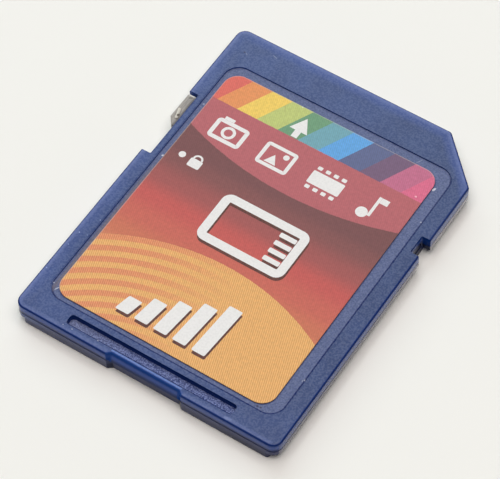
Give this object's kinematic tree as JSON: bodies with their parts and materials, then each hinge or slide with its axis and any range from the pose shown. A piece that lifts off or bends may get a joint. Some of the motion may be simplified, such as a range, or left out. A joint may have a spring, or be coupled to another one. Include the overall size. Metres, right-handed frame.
{
  "type": "memory card",
  "caption": "Flat full-size camera memory card: two welded plastic covers with a cut corner, label recess, contact windows on the back and a sliding write-protect lock in the left edge.",
  "frame": {"origin": "middle of the flat back face, on the surface the card lies on", "axes": "+X across the card to the side with the cut corner, +Y along the card to the contact end, +Z out of the label face"},
  "size_m": [0.024, 0.032, 0.0021],
  "materials": {
    "front_shell": "fine spark-eroded moulded plastic, slate blue",
    "rear_shell": "fine spark-eroded moulded plastic, slate blue",
    "label_film": "printed film, satin",
    "slider_plastic": "smooth moulded plastic, light grey",
    "board": "solder mask, dark green",
    "contact_gold": "gold plating",
    "chip_resin": "moulded epoxy, black",
    "capacitor_ceramic": "ceramic, tan",
    "resistor_ceramic": "ceramic, black"
  },
  "bodies": {
    "card": {"front_cover": "front_shell", "rear_cover": "rear_shell", "front_label": "label_film", "circuit_board": "board", "memory_chip": "chip_resin", "controller_chip": "chip_resin", "contact_pad_1": "contact_gold", "contact_pad_2": "contact_gold", "contact_pad_3": "contact_gold", "contact_pad_4": "contact_gold", "contact_pad_5": "contact_gold", "contact_pad_6": "contact_gold", "contact_pad_7": "contact_gold", "contact_pad_8": "contact_gold", "contact_pad_9": "contact_gold", "chip_capacitor_1": "capacitor_ceramic", "chip_capacitor_2": "capacitor_ceramic", "chip_capacitor_3": "capacitor_ceramic", "chip_capacitor_4": "capacitor_ceramic", "chip_resistor_1": "resistor_ceramic", "chip_resistor_2": "resistor_ceramic", "chip_resistor_3": "resistor_ceramic", "chip_resistor_4": "resistor_ceramic", "chip_resistor_5": "resistor_ceramic"},
    "slider": {"lock_slider": "slider_plastic"}
  },
  "joints": [
    {"name": "lock_slide", "type": "slide", "parent": "card", "child": "slider", "axis": [0, -1, 0], "range_m": [0, 0.00315]}
  ]
}
